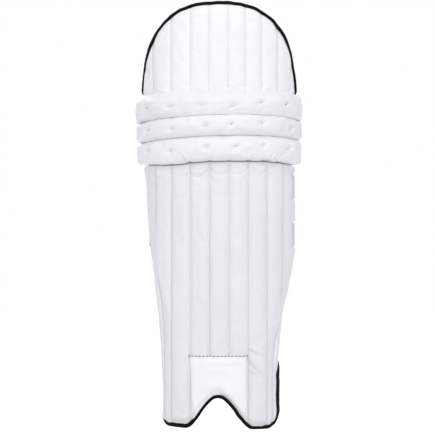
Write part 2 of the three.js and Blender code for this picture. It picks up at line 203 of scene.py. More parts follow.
def bend(s, z, w):
    """Pattern points wrapped round the leg, in metres."""
    s, z, w = np.broadcast_arrays(*(np.asarray(v, float) for v in (s, z, w)))
    calf = rise(z, ANKLE["top"], CALF["bottom"])
    radius = mix(ANKLE["radius"], CALF["radius"], calf)
    radius = radius + rise(z, THIGH["bottom"], THIGH["top"]) * (THIGH["radius"] - CALF["radius"])
    arc = mix(ANKLE["arc"], CALF["arc"], calf)
    length = np.abs(s)
    front = np.minimum(length, arc) / FRONT_RADIUS
    side = np.minimum(np.maximum(length - arc, 0) / radius, WING_TURN - front)
    turn = front + side
    straight = np.maximum(length - arc - side * radius, 0)
    x = (FRONT_RADIUS * np.sin(front) + radius * (np.sin(turn) - np.sin(front))
         + straight * np.cos(turn))
    y = (FRONT_RADIUS * (1 - np.cos(front)) + radius * (np.cos(front) - np.cos(turn))
         + straight * np.sin(turn))
    x, y = np.sign(s) * (x + w * np.sin(turn)), y - w * np.cos(turn) + FRONT_Y
    return np.stack([x, y, z], -1) * MM


def outward(s, z):
    """The panel's outward direction, metres for each millimetre of w."""
    return bend(s, z, 1) - bend(s, z, 0)


def roll_line(index, s):
    """Height of a line between the knee rolls. The lowest hangs lower on the left."""
    crown, left, right = ROLL_LINES[index]
    half = ROLL_HALF + np.where(s < ROLL_CROWN_AT, ROLL_CROWN_AT, -ROLL_CROWN_AT)
    share = (s - ROLL_CROWN_AT) / half
    dip = ROLL_DIP["depth"] * bump(s, ROLL_DIP["at"], ROLL_DIP["width"]) if index == 0 else 0
    return crown - np.where(s < ROLL_CROWN_AT, left, right) * share ** 2 - dip


def flex_room(s):
    """Half the room left along a hinge behind its pivot, which closes up as the knee bends."""
    behind = bend(s, THIGH["bottom"], 0)[..., 1] / MM - FLEX["pivot_y"]
    return np.maximum(behind + 3, 0) * math.tan(FLEX["half_turn"])


def wing_edge(side, z):
    """How far out a wing reaches at height z."""
    reach, bottom, top = WINGS[side]
    return mix(FOOT_EDGE[side], reach, ramp(z, bottom, top))


def to_edge(s, z):
    """Distance to the nearer wing's edge."""
    return np.minimum(wing_edge(-1, z) + s, wing_edge(1, z) - s)


def foot_line(s):
    """The notch over the boot, a foot each side of it with a nick at its seam, and the corners."""
    from_apex = s - NOTCH["apex"]
    half = np.where(from_apex < 0, NOTCH["left"], NOTCH["right"])
    line = NOTCH["height"] * (1 - ease(np.abs(from_apex) / half))
    line = line + 0.7 * np.sin(s / 6.0) * bump(np.abs(s), 36, 16)
    for side, corner in CORNERS.items():
        out = side * s
        starts, ends, here = (bend(v, 0, 0)[..., 0]
                              for v in (corner["starts"], FOOT_EDGE[side], out))
        line = line + corner["rise"] * (1 - np.sqrt(1 - rise(here, starts, ends) ** 2))
        line = line + corner["lift"] * ramp(out, 40, 64) + 1.6 * bump(out, SEAMS[-2], 2.6)
    return line


def foot_tilt(s):
    """How much longer a step up from the foot's rim is than one taken square to it."""
    return np.hypot(1, (foot_line(s + 1) - foot_line(s - 1)) / 2)


def columns(left, right, seams=SEAMS):
    """s of a quilted panel's columns between its edges, sampled alike in every channel."""
    inner = np.interp(CHANNEL, np.arange(1, 9), seams)
    room_left, room_right = left + seams[0], right - seams[-1]
    drawn_left, drawn_right = (np.minimum(0, room - LEAST_CHANNEL)
                               for room in (room_left, room_right))
    return (inner - np.clip(2 - CHANNEL, 0, 1) * drawn_left
            + np.clip(CHANNEL - 7, 0, 1) * drawn_right
            - np.clip(1 - CHANNEL, 0, 1) * (room_left - drawn_left)
            + np.clip(CHANNEL - 8, 0, 1) * (room_right - drawn_right))


def waves(s, z, size, stretch=1.0, count=8):
    """A smooth uneven field, about -1 to 1, of waves size mm long, stretch times longer upwards."""
    total = np.zeros(np.broadcast(s, z).shape)
    for _ in range(count):
        angle = rng.uniform(0, math.tau)
        length = size * rng.uniform(0.7, 1.5)
        phase = rng.uniform(0, math.tau)
        across = s * math.cos(angle) + z * math.sin(angle) / stretch
        total += np.sin(across / length * math.tau + phase)
    return total / math.sqrt(count)


def domed(across, shoulder=3.4, crown=2.4):
    """Share of its height that a channel's stuffing reaches, from seam to seam."""
    return (1 - np.abs(2 * across - 1) ** shoulder) ** (1 / crown)


def shin_grid(inset, rows):
    """s and z of a grid over the shin panel, drawn in from its edges by inset."""
    foot = columns(FOOT_EDGE[-1] - inset, FOOT_EDGE[1] - inset)
    low = foot_line(foot) + inset * foot_tilt(foot)
    crown = ROLL_LINES[0][0]
    head = columns(wing_edge(-1, crown) - inset, wing_edge(1, crown) - inset)
    high = roll_line(0, head) - 0.4 - flex_room(head)
    z = mix(low, high, np.linspace(0, 1, rows)[:, None])
    return columns(wing_edge(-1, z) - inset, wing_edge(1, z) - inset), z, low, high


def read(items, name, width, kind=float):
    """One property of all the points, corners or faces of a mesh, width numbers each."""
    found = np.empty(len(items) * width, kind)
    items.foreach_get(name, found)
    return found.reshape(-1, width)


def piece(name, points, faces, surface):
    """A smooth mesh object. Its UV map is surface, the pattern place of each point in metres."""
    mesh = bpy.data.meshes.new(name)
    mesh.from_pydata(np.reshape(points, (-1, 3)).tolist(), [], [list(map(int, f)) for f in faces])
    mesh.shade_smooth()
    corners = read(mesh.loops, "vertex_index", 1, int)[:, 0]
    mesh.uv_layers.new(name="pattern").data.foreach_set("uv", np.ravel(surface[corners]))
    return add(name, mesh)


def shell(name, front, back, surface):
    """A closed mesh between two grids of points, rows by columns."""
    rows, count = front.shape[:2]
    index = np.arange(rows * count).reshape(rows, count)
    quads = np.stack([index[:-1, :-1], index[:-1, 1:], index[1:, 1:], index[1:, :-1]], -1)
    quads = quads.reshape(-1, 4)
    ring = np.concatenate([index[0, :-1], index[:-1, -1], index[-1, :0:-1], index[:0:-1, 0]])
    rim = np.stack([ring, ring + index.size, np.roll(ring, -1) + index.size, np.roll(ring, -1)], -1)
    return piece(name, np.concatenate([front.reshape(-1, 3), back.reshape(-1, 3)]),
                 np.concatenate([quads, quads[:, ::-1] + index.size, rim]),
                 np.tile(surface.reshape(-1, 2), (2, 1)))


def layer(name, s, z, front, back):
    """A closed layer over a grid of pattern points, from w back to w front."""
    return shell(name, bend(s, z, front), bend(s, z, back), np.stack([s, z], -1) * MM)


def points_of(made, count=None):
    return read(made.data.vertices, "co", 3)[:count]


def move_points(made, points):
    made.data.vertices.foreach_set("co", np.ravel(points))
    made.data.update()


def sewn_points(s, *picked):
    """Numbers of a stuffed piece's sewn points: its whole back, and those picked of its front."""
    grid = np.arange(s.size).reshape(s.shape)
    front = [np.ravel(grid[pick]) for pick in picked]
    return np.unique(np.concatenate([*front, np.arange(s.size, 2 * s.size)]))


def evaluated(made):
    """A piece with its modifiers worked out."""
    return made.evaluated_get(bpy.context.evaluated_depsgraph_get())


def stuff(made, sewn, pressure, cap, slack, frames=16):
    """Swells a stuffed piece by cloth simulation, held where it is sewn, by no more than cap mm."""
    held = made.vertex_groups.new(name="sewn")
    held.add([int(i) for i in sewn], 1.0, "REPLACE")
    cloth = made.modifiers.new("stuffing", "CLOTH")
    cloth.point_cache.frame_end = frames
    set_to = cloth.settings
    set_to.quality = 6
    set_to.vertex_group_mass = "sewn"
    set_to.use_pressure = True
    set_to.uniform_pressure_force = pressure
    set_to.shrink_min = -slack
    set_to.effector_weights.gravity = 0
    set_to.bending_stiffness = 1.5
    for moment in range(1, frames + 1):
        scene.frame_set(moment)
    swollen = read(evaluated(made).data.vertices, "co", 3)
    made.modifiers.remove(cloth)
    scene.frame_set(1)
    rest = points_of(made)
    move = swollen - rest
    length = np.linalg.norm(move, axis=1, keepdims=True)
    move_points(made, rest + move * np.minimum(1, cap * MM / np.maximum(length, 1e-9)))


def refine(made, relief=None):
    """Smooths a piece by one subdivision, then raises its outer face by relief(s, z) mm."""
    smooth = made.modifiers.new("smooth", "SUBSURF")
    smooth.levels = smooth.render_levels = 1
    mesh = bpy.data.meshes.new_from_object(evaluated(made))
    made.modifiers.remove(smooth)
    made.data = mesh
    if relief is None:
        return
    spot = np.zeros((len(mesh.vertices), 2))
    corners = read(mesh.loops, "vertex_index", 1, int)[:, 0]
    spot[corners] = read(mesh.uv_layers[0].data, "uv", 2) / MM
    s, z = spot.T
    out = outward(s, z)
    facing = np.clip(3 * (read(mesh.vertices, "normal", 3) * out).sum(-1) / MM, 0, 1)
    move_points(made, points_of(made) + out * (facing * relief(s, z))[:, None])


def tinted(tree, code, field, low, high, dark, light=1.0):
    """A colour, times dark where the field is low and times light where it is high."""
    shade = node(tree, "ShaderNodeMapRange", {"Value": field, 1: low, 2: high, 3: dark, 4: light})
    return node(tree, "ShaderNodeMix", {6: colour(code), 7: shade, 0: 1.0},
                data_type="RGBA", blend_type="MULTIPLY").outputs[2]



def coated_cloth(name, code, rough, grain=0.10, shine=0.5):
    """Cloth with a smooth polyurethane coat. It gives a satin surface with a fine embossed leather
    grain, soft dents and slightly uneven gloss."""
    made, tree = material(name)
    place = node(tree, "ShaderNodeTexCoord").outputs["Object"]
    # Real grain is 0.4 mm; it is drawn at 1.1 mm, so that it shows.
    cells = node(tree, "ShaderNodeTexVoronoi", {"Vector": place, "Scale": 900.0, "Randomness": 1.0})
    dents = node(tree, "ShaderNodeTexNoise", {"Vector": place, "Scale": 90.0, "Detail": 4.0})
    tone = node(tree, "ShaderNodeTexNoise", {"Vector": place, "Scale": 14.0, "Detail": 3.0})
    gloss = node(tree, "ShaderNodeMapRange", {"Value": dents, 1: 0.3, 2: 0.7,
                                              3: rough - 0.06, 4: rough + 0.08})
    deep = node(tree, "ShaderNodeBump", {"Height": dents, "Strength": 0.35,
                                         "Distance": 0.0007})
    fine = node(tree, "ShaderNodeBump", {
        "Height": cells.outputs["Distance"], "Strength": grain * 4, "Distance": 0.0002,
        "Normal": deep})
    shader = node(tree, "ShaderNodeBsdfPrincipled", {
        "Base Color": tinted(tree, code, tone, 0.3, 0.7, dark=0.965), "IOR": 1.46,
        "Roughness": gloss, "Specular IOR Level": shine, "Normal": fine})
    node(tree, "ShaderNodeOutputMaterial", {"Surface": shader})
    return made


def dress(made, finish, body, slot, *stands_for):
    """Gives a piece its material and the body it rides, and hides the CAD parts it replaces. slot
    is not used.
    """
    made.data.materials.append(finish)
    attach(made, body)
    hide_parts(*stands_for)


# The shin, the knee rolls and the flap are one coated cloth. The shin's colour is darker only as
# painted shade, for how the light falls on it.
shin_cloth_painted_shade = coated_cloth("polyurethane coated cloth, shin, painted shade", "EBEAED", rough=0.5)

s, z, low, high = shin_grid(BINDING_WIDTH - 1, SHIN_ROWS)
edge = to_edge(s, z)
wing = rise(np.abs(CHANNEL - 4.5), 3.3, 3.7) + 0 * s
full = mix(SHIN_THICKNESS, np.where(s > 0, WING_THICKNESS[1], WING_THICKNESS[-1]), wing)
uneven = [np.interp(z, *np.transpose(WING_FILL[side])) for side in (-1, 1)]
full = full + wing * np.where(s > 0, uneven[1], uneven[0])
for first in (STEPS, 7 * STEPS):    # the channels beside the wings, thinner where they are narrow
    channel = slice(first + 1, first + STEPS)
    full[:, channel] *= np.clip((s[:, [first + STEPS]] - s[:, [first]]) / 28, 0.55, 1)
full = mix(EDGE_HEIGHT, full, ramp(z, low, low + 14))
thins = np.where(s > 0, ramp(z, *EDGE_THINS[1]), ramp(z, *EDGE_THINS[-1]))
full = mix(EDGE_HEIGHT * (1 - 0.55 * thins), full, ramp(edge, 4, 11))
sewn_down = np.minimum(full * 0.5, 5.4)
full = mix(full * mix(0.75, 1, wing), full, ramp(high - z, 0, 10))
taped = np.zeros(s.shape)    # the wing is flat under the two outer loop tapes
for strap in ("calf", "knee"):
    inside = ramp(TAPE_SEAT["half"] - np.abs(z - STRAP_HEIGHTS[strap]), 0, 3.5)
    taped = np.maximum(taped, rise(s, TAPE_SEAT["from"], TAPE_SEAT["to"]) * inside)
full = mix(full, TAPE_SEAT["height"], taped)
height = mix(sewn_down, full, domed(CHANNEL % 1)) * 0.93
shin = layer("shin_panel", s, z, height, np.full_like(height, 0.2))
sewn = sewn_points(s, np.s_[:, ::STEPS], np.s_[:2], np.s_[-1], np.s_[:, :2], np.s_[:, -2:],
                   taped > 0.6, (wing > 0.5) & (z < mix(120, 116, s > 0)))
stuff(shin, sewn, pressure=2.0, cap=3.0, slack=0.004)
shin_s, shin_z, shin_low, shin_high = s, z, low, high


def shin_relief(s, z):
    """Folds of the shin's cloth. It sags where each channel tucks in under the lower roll, the
    channels are stuffed by hand, and the seam at the patch's right pulls on it in creases."""
    across = (s / CHANNEL_WIDTH + 4.5) % 1
    below = roll_line(0, s) - z
    fold = 22 - 9 * (2 * across - 1) ** 2 + 3.0 * waves(s, z * 0, 70)
    deep = ease(0.75 + 0.6 * waves(s, z * 0, 45))
    sag = deep * (-1.8 * bump(below, fold, 2.6) + bump(below, fold - 6, 4)
                  - 0.8 * bump(below, fold + 15, 4.5))
    sag = sag * (1 - ramp(np.abs(s), 100, 116))
    uneven = 0.55 * waves(s, z, 60, 2.5) + 0.25 * waves(s, z, 22, 1.6)
    pull = 0
    for start, slope, reach, depth in PATCH_PULLS:
        along = (z - start + (s - SEAMS[5]) * slope) / math.hypot(1, slope)
        side = ramp(s, 45, 51) * (1 - ramp(s, 54, reach))
        pull = pull + depth * side * (bump(along, 4.5, 3.6) - bump(along, -1, 3.0))
    held = ramp(to_edge(s, z), 5, 18)
    return ((sag + uneven) * domed(across) + pull) * held * ramp(z - foot_line(s), 4, 16)


refine(shin, shin_relief)
dress(shin, shin_cloth_painted_shade, "shin", "face",
      "shin_face_cover", *[f"shin_filling_{n}" for n in range(1, 10)])

# ---- Knee rolls ---------------------------------------------------------------------------------
# Three thick bars across the knee, each a sleeve of the same coated cloth stuffed with fibre and
# tufted through to its backing in six places, so that the cloth puckers round every tuft.
ROLL_DEPTH = {"front": 27, "side_at": 120, "left": (20.6, 22.4, 23.2), "right": (21, 21.2, 22.4)}
ROLL_END_BOXY = (2.4, 0.5, 0.6)
ROLL_COLUMNS = 133
ROLL_ROWS = 25
TUFT_SINK = 5.5
FLAP_LIP = 9.0    # how far the upper roll stands out where it is sewn on to the flap
# Tucks of the lower roll's foot: where, how they lean, how strong.
GATHERS = [(-108, -0.2, 0.6), (-77.5, -0.4, 0.8), (-46.5, -0.8, 1.5), (-15.5, 0.5, 1.2),
           (15.5, 0.1, 0.6), (46.5, 0.3, 0.9), (70, 0.9, 1.5), (77.5, 0.8, 1.2), (97, 0.9, 0.9),
           (108, 0.2, 0.5)]
TUFTS = {
    "lower": [(-115.9, 455.6), (-74.6, 455.1), (-18.9, 461.5), (24.8, 462.9), (67.8, 465.1),
              (110.3, 460.5)],
    "middle": [(-113.9, 490.1), (-72.1, 491.1), (-20.8, 496.3), (18.2, 498.5), (65.8, 501.2),
               (114.3, 491.8)],
    "upper": [(-118.4, 526.6), (-74.6, 527.1), (-26.4, 528.8), (20.1, 527.8), (63.8, 534.6),
              (105.2, 532.8)],
}
swept = lambda count: np.sin(np.linspace(-0.5, 0.5, count) * math.pi)    # denser at its ends
rounded = lambda t, power: (1 - np.abs(t) ** power) ** (1 / power)    # 0 at -1 and 1, 1 at 0
# The same cloth as the shin and the flap, a little lighter than the shin and darker than the flap,
# as painted light and shade.
roll_cloth_painted_tone = coated_cloth("polyurethane coated cloth, rolls, painted light and shade", "F0EFF2", rough=0.44)


def pressed(index, s):
    """How far up their depth two neighbouring rolls are pressed together along a line."""
    at_ends = ramp(np.abs(s), 115, 145)
    at_tips = ramp(np.abs(s), 134, 150)
    tight = mix(0.5, 0.76, ramp(s, -100, -30))
    return (0, mix(0.5, np.where(s < 0, 0.66, 0.78), at_ends), mix(tight, 0.92, at_tips), 0)[index]


def roll_grid(index, inset=0.0, gap=0.06):
    """s, z and the dome's height over one roll, gap mm clear of the lines each side of it."""
    step = np.linspace(-1, 1, ROLL_COLUMNS)
    step = step * (1.35 - 0.35 * step ** 2)
    step = np.clip(step, -1, 1)[None, :]
    across = swept(ROLL_ROWS)[:, None]
    s = ROLL_HALF * step
    bottom = roll_line(index, s) + gap + flex_room(s)
    top = roll_line(index + 1, s) - gap - flex_room(s) * (index < 2)
    round_end, square_end = (mix(least, 1, np.sqrt(1 - np.abs(step) ** power))
                             for least, power in ((0.6, 18), (0.9, 40)))
    foot_end = round_end if index == 0 else square_end
    head_end = round_end if index == 2 else square_end
    z = (top + bottom) / 2 + (top - bottom) / 2 * across * np.where(across < 0, foot_end, head_end)
    side = ease(np.abs(s) / ROLL_DEPTH["side_at"])
    at_side = np.where(s < 0, ROLL_DEPTH["left"][index], ROLL_DEPTH["right"][index])
    depth = mix(ROLL_DEPTH["front"], at_side, side) - inset
    boxy = mix(2.8, 3.6, side) + ROLL_END_BOXY[index] * ramp(np.abs(s), 122, 148)
    dome = rounded(across, boxy)
    base = np.where(across < 0, pressed(index, s), pressed(index + 1, s))
    swell = 1 - np.abs(across) ** mix(2.6, 6.5, ramp(np.abs(s), 110, 145))
    dome = np.where(base > 0, base + (1 - base) * swell, dome)
    if index == 2:    # its top runs smoothly on to the flap
        level = FLAP_LIP / depth
        slope = mix(1 - np.abs(across) ** 2.6, (1 + np.cos(math.pi * across)) / 2, across ** 4)
        smooth = level + (1 - level) * slope
        dome = np.where(across > 0, mix(smooth, dome, ramp(np.abs(s), 120, 150)), dome)
    return s + 0 * z, z, depth * dome * (1 - step ** 14) ** 0.25


tacks = {}
for index, name in enumerate(TUFTS):
    s, z, height = roll_grid(index, 0.6)
    lumps = 0.6 * waves(s, z, 45) + 0.35 * waves(s, z, 16)
    front = np.maximum(height + lumps * rise(height, 6, 18), 0) + 0.3
    if name == "upper":    # its top is sewn on to the face of the flap
        to_top = rise(z - roll_line(3, s), -9, 0)
        lip = FLAP_LIP * ramp(to_top, 0.2, 0.9)
        front = np.maximum(front, lip * (height + to_top > 0.05))
        z = z + 1.2 * to_top * (1 - ramp(np.abs(s), 140, 155))
    if name == "lower":    # its foot is gathered where each seam of the shin runs under it
        above = z - roll_line(0, s)
        for seam, lean, strength in GATHERS:
            z = z + 2.2 * strength * bump(s, seam, 2.6) * (1 - ramp(above, 0, 9))
    pulled = np.zeros(s.shape, bool)
    for tuft_s, tuft_z in TUFTS[name]:
        away = np.hypot(s - tuft_s, z - tuft_z)
        front = front - TUFT_SINK * np.where(height > 12, np.exp(-away / 4.5), 0)
        pulled |= (np.hypot((s - tuft_s) * 0.7, z - tuft_z) < 1.9) & (height > 12)
    roll = layer(f"{name}_knee_roll", s, z, front, np.full_like(front, 0.1))
    sewn = sewn_points(s, pulled, np.s_[:2], np.s_[-2:], np.s_[:, 0], np.s_[:, -1])
    stuff(roll, sewn, pressure=5.0, cap=4.0, slack=0.003)
    tufts = [(tuft_s, tuft_z, rng.uniform(0.15, 0.65)) for tuft_s, tuft_z in TUFTS[name]]
    skin = points_of(roll, s.size)
    nearest = [int(np.argmin(np.hypot(s - tuft_s, z - tuft_z))) for tuft_s, tuft_z, tilt in tufts]
    tacks[name] = [(skin[at], s.flat[at], z.flat[at], tilt)
                   for at, (tuft_s, tuft_z, tilt) in zip(nearest, tufts)]

    def tuft_relief(s, z):
        """A slit pressed in at every tuft, with the cloth pushed up in a crescent below it."""
        total = 0 * s
        for tuft_s, tuft_z, tilt in tufts:
            u = (s - tuft_s) * math.cos(tilt) + (z - tuft_z) * math.sin(tilt)
            v = (z - tuft_z) * math.cos(tilt) - (s - tuft_s) * math.sin(tilt)
            total -= (1.8 * np.exp(-(u / 6.5) ** 2 - (v / 3.2) ** 2)
                      + 2.4 * np.exp(-(u / 3.6) ** 2 - (v / 1.3) ** 2))
            total += 1.1 * np.exp(-(u / 7.0) ** 2 - ((v + 5.0) / 2.2) ** 2)
        if name == "lower":
            above = z - roll_line(0, s)
            for seam, lean, strength in GATHERS:
                at = (s - seam - lean * above) / math.hypot(1, lean)
                fades = 1 - ramp(above, 4 + 3 * strength, 8 + 7 * strength)
                reach = ramp(above, 0.5, 4) * fades
                folds = bump(at, 2.6, 1.9) + bump(at, -2.6, 1.9) - 1.5 * bump(at, 0, 1.5)
                total += strength * reach * folds
        return total + 0.25 * waves(s, z, 14) + 0.3 * waves(s, z, 30)

    refine(roll, tuft_relief)
    dress(roll, roll_cloth_painted_tone, f"{name}_roll", "white", f"{name}_roll_cover", f"{name}_roll_filling")

# ---- Thigh flap ---------------------------------------------------------------------------------
# An arched guard above the knee, made like the shin panel: nine shallow channels, closed by the
# binding along its arch, and sewn down on to the upper roll.
FLAP = {"edge": 158, "base": 551, "height": 149, "roundness": 2.58, "thickness": 9.0, "side": 8.0}
FLAP_FLARE = {"left": 3.4, "right": 2.4, "reach": 44}    # the rolls push its lower corners out
FLAP_WAIST = {"at": 612, "width": 34}    # the right side is drawn in here
FLAP_ROWS = 56
FLAP_SEAMS = np.array([-116, -79, -46.5, -17, 14, 41.5, 68.5, 96.5])


def flap_top(s, inset=0.0):
    """Height of the arch, drawn in by inset."""
    edge = FLAP["edge"] - inset
    widest = bend(edge, THIGH["top"], 0)[..., 0]
    share = np.clip(np.abs(bend(s, THIGH["top"], 0)[..., 0] / widest), 0, 1)
    return FLAP["base"] + (FLAP["height"] - inset) * rounded(share, FLAP["roundness"])


def flap_grid(inset, rows):
    """s, z and the lower and upper edge of a grid over the flap."""
    s = columns(FLAP["edge"] - inset, FLAP["edge"] - inset, FLAP_SEAMS)
    low = roll_line(3, s) - 1.8 * (1 - ramp(np.abs(s), 135, 150))
    high = np.maximum(flap_top(s, inset), low + BINDING_WIDTH)
    z = mix(low, high, np.linspace(0, 1, rows)[:, None])
    return s + 0 * z, z, low, high


s, z, low, high = flap_grid(BINDING_WIDTH - 1, FLAP_ROWS)
full = mix(FLAP["thickness"], FLAP["side"], rise(np.abs(s), SEAMS[-1] - 6, SEAMS[-1] + 6))
full = mix(EDGE_HEIGHT, full, ramp(high - z, 0, 16))
full = mix(EDGE_HEIGHT + 1.5, full, ramp(FLAP["edge"] - np.abs(s), 4, 16))
flare = np.where(s < 0, FLAP_FLARE["left"], FLAP_FLARE["right"])
flare = flare * (1 - rise(z - low, 0, FLAP_FLARE["reach"]))
flare = flare - 2.2 * bump(z, FLAP_WAIST["at"], FLAP_WAIST["width"]) * (s > 0)
full = full + flare * ramp(np.abs(s), 120, 146)
sewn_down = mix(7.6, np.minimum(full * 0.6, 5.2), ramp(z - low, 0, 12))
full = mix(8.4, full, ramp(z - low, 2, 9))
height = mix(sewn_down, full, domed(CHANNEL % 1)) * 0.95
flap = layer("flap_panel", s, z, height, np.full_like(height, 0.2))
flap_s, flap_z = s, z
sewn = sewn_points(s, np.s_[:, ::STEPS], np.s_[0], np.s_[-2:], np.s_[:, :2], np.s_[:, -2:])
stuff(flap, sewn, pressure=1.5, cap=2.5, slack=0.004)


def flap_relief(s, z):
    """Uneven channels, and small tucks where they are caught under the upper roll."""
    above = z - roll_line(3, s)
    inside = ramp(flap_top(s) - z, 8, 22) * ramp(FLAP["edge"] - np.abs(s), 6, 22)
    caught = bump(above, 7 + 1.5 * waves(s, z * 0, 40), 3.2)
    tucks = caught * waves(s + 0.3 * above, z * 0, 10, count=5)
    return (0.4 * waves(s, z, 60, 2) + 0.15 * waves(s, z, 20) + tucks) * inside


refine(flap, flap_relief)
# The same cloth as the shin and the rolls, made the lightest of the three as painted light, for the
# flap faces the lamp.
flap_cloth_painted_light = coated_cloth("polyurethane coated cloth, thigh flap, painted light", "F5F4F7", rough=0.44)
dress(flap, flap_cloth_painted_light, "thigh_flap", "white",
      "thigh_face_cover", *[f"thigh_filling_{n}" for n in range(1, 10)])

# ---- Linings and hinge cloths -------------------------------------------------------------------
# The leg side of the shin and the flap is soft brushed cotton, held by the same eight seams. Each
# knee roll has a strip of it behind, and strips of plain cloth join shin, rolls and flap.
def ribs(tree, pattern, *gaps):
    """A sine wave along each axis of the pattern, with its gap in metres."""
    split = node(tree, "ShaderNodeSeparateXYZ", {0: pattern})
    found = []
    for axis, gap in enumerate(gaps):
        turn = node(tree, "ShaderNodeMath", {0: split.outputs[axis], 1: math.tau / gap},
                    operation="MULTIPLY")
        found.append(node(tree, "ShaderNodeMath", {0: turn}, operation="SINE"))
    return found


# Brushed plain-weave cotton: dull and a little fuzzy, with its threads just showing.
cotton, tree = material("woven cotton lining")
pattern = node(tree, "ShaderNodeUVMap", uv_map="pattern")
# Real threads lie 0.5 mm apart; they are drawn at 1.6 mm, so that they show.
weft, warp = ribs(tree, pattern, 0.0016, 0.0016)
weave = node(tree, "ShaderNodeMath", {0: weft, 1: warp}, operation="MULTIPLY")
fuzz = node(tree, "ShaderNodeTexNoise", {"Vector": pattern, "Scale": 700.0, "Detail": 3.0})
weave = node(tree, "ShaderNodeMath", {0: weave, 1: fuzz}, operation="ADD")
tone = node(tree, "ShaderNodeTexNoise", {"Vector": pattern, "Scale": 25.0, "Detail": 3.0})
raised = node(tree, "ShaderNodeBump", {"Height": weave, "Strength": 0.5, "Distance": 0.0003})
shader = node(tree, "ShaderNodeBsdfPrincipled", {
    "Base Color": tinted(tree, "DDDDE2", tone, 0.3, 0.7, dark=0.93), "Roughness": 0.92,
    "Normal": raised, "Sheen Weight": 0.25, "Sheen Roughness": 0.5})
node(tree, "ShaderNodeOutputMaterial", {"Surface": shader})


def lining(name, s, z, puff, body, node_name):
    """A sheet of cotton behind a panel, hanging puff mm off it."""
    made = layer(name, s, z, -0.3 - puff, -0.3 - 0.8 - puff)
    dress(made, cotton, body, "lining", node_name)


crown = domed(CHANNEL % 1, 2.4, 2)
s, z, low, high = shin_grid(BINDING_WIDTH - 1, 90)
near = ramp(z - low, 4, 20) * ramp(high - z, 2, 16)
near = near * ramp(to_edge(s, z), 5, 20)
lining("shin_back_lining", s, z, near * (1.5 * crown + 0.5 * crown * waves(s, z, 40, 2)),
       "shin", "shin_lining")
s, z, low, high = flap_grid(BINDING_WIDTH - 1, 40)
near = ramp(high - z, 4, 18) * ramp(z - low, 1, 10)
near = near * ramp(FLAP["edge"] - np.abs(s), 6, 20)
lining("flap_back_lining", s, z, near * (1.2 * crown + 0.4 * crown * waves(s, z, 40, 2)),
       "thigh_flap", "thigh_lining")
for index, name in enumerate(TUFTS):
    s, z, height = roll_grid(index, 0.4)
    lining(f"{name}_roll_lining", s, z, 0.0 * s, f"{name}_roll", f"{name}_roll_backing")

HINGE = {"half": 150, "reach": 10, "front": 0.05, "back": -0.25, "bends_over": 0.007}
HINGED = ["shin", "lower_roll", "middle_roll", "upper_roll", "thigh_flap"]
for index, (below, above) in enumerate(zip(HINGED, HINGED[1:])):
    s, up = np.meshgrid(np.linspace(-HINGE["half"], HINGE["half"], 61),
                        np.linspace(-HINGE["reach"], HINGE["reach"], 11))
    z = roll_line(index, s) + up
    hinge = layer(f"hinge_cloth_{index + 1}", s, z,
                  np.full_like(s, HINGE["front"]), np.full_like(s, HINGE["back"]))
    hinge.data.materials.append(cotton)
    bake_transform(hinge)

# ---- Bindings -----------------------------------------------------------------------------------
# Black coated tape folded over the raw edge of the shin and of the flap and sewn through. It is
# wider and thicker where it wraps the corners of the foot.
tape_black = coated_cloth("black polyurethane coated tape", "040304", rough=0.5, grain=0.16,
                          shine=0.1)
FOLD = {"half_wide": 2.9, "middle": 2.25, "back": -1.5, "roundness": 2.7, "turns": 20}


def run_along(line):
    """Distance run along a flat line at each of its points."""
    return np.concatenate([[0], np.cumsum(np.linalg.norm(np.diff(line, axis=0), axis=1))])


def left_of(line):
    """Direction to the left of a flat line at each of its points."""
    ahead = np.gradient(line, axis=0)
    ahead /= np.linalg.norm(ahead, axis=1, keepdims=True)
    return np.stack([-ahead[:, 1], ahead[:, 0]], -1)


def edge_path(s, z, step=3.0):
    """An outline of pattern points sampled every step mm, with the direction into the panel."""
    line = np.stack([s, z], -1)
    along = run_along(line)
    even = np.linspace(0, along[-1], int(along[-1] / step) + 1)
    line = np.stack([np.interp(even, along, line[:, i]) for i in (0, 1)], -1)
    for _ in range(3):
        line[1:-1] = (line[:-2] + 2 * line[1:-1] + line[2:]) / 4
    return line, left_of(line), even


def bind_edge(name, line, inward, even, front, wide, body, node_name):
    """A folded tape along an edge. At each point front is how far it stands out of the panel, and
    wide how much wider it is than usual."""
    turns = np.linspace(0, math.tau, FOLD["turns"], endpoint=False)
    round_out = lambda v: np.sign(v) * np.abs(v) ** (2 / FOLD["roundness"])
    wobble = 0.5 * waves(even, even * 0, 50) + 0.3 * waves(even, even * 0, 17)
    across = (FOLD["half_wide"] * round_out(np.cos(turns)))[None, :]
    width = np.ones(len(line))
    width[[0, -1]], width[[1, -2]] = 0.55, 0.85
    centre = FOLD["middle"] + FOLD["half_wide"] * (wide - 1) + wobble
    across = centre[:, None] + across * (width * wide)[:, None]
    middle = ((front + FOLD["back"]) / 2)[:, None]
    w = middle + (front[:, None] - middle) * round_out(np.sin(turns))[None, :] * width[:, None]
    spot = line[:, None, :] + inward[:, None, :] * across[..., None]
    points = bend(spot[..., 0], np.maximum(spot[..., 1], 0.3), w)
    index = np.arange(points.shape[0] * len(turns)).reshape(-1, len(turns))
    after = np.roll(index, -1, axis=1)
    faces = np.stack([index[:-1], after[:-1], after[1:], index[1:]], -1).reshape(-1, 4).tolist()
    faces += [index[0, ::-1].tolist(), index[-1].tolist()]
    round_it = np.arange(len(turns))[None, :] * 0.9
    surface = np.stack(np.broadcast_arrays(even[:, None], round_it), -1) * MM
    made = piece(name, points, faces, surface.reshape(-1, 2))
    dress(made, tape_black, body, "binding", node_name)


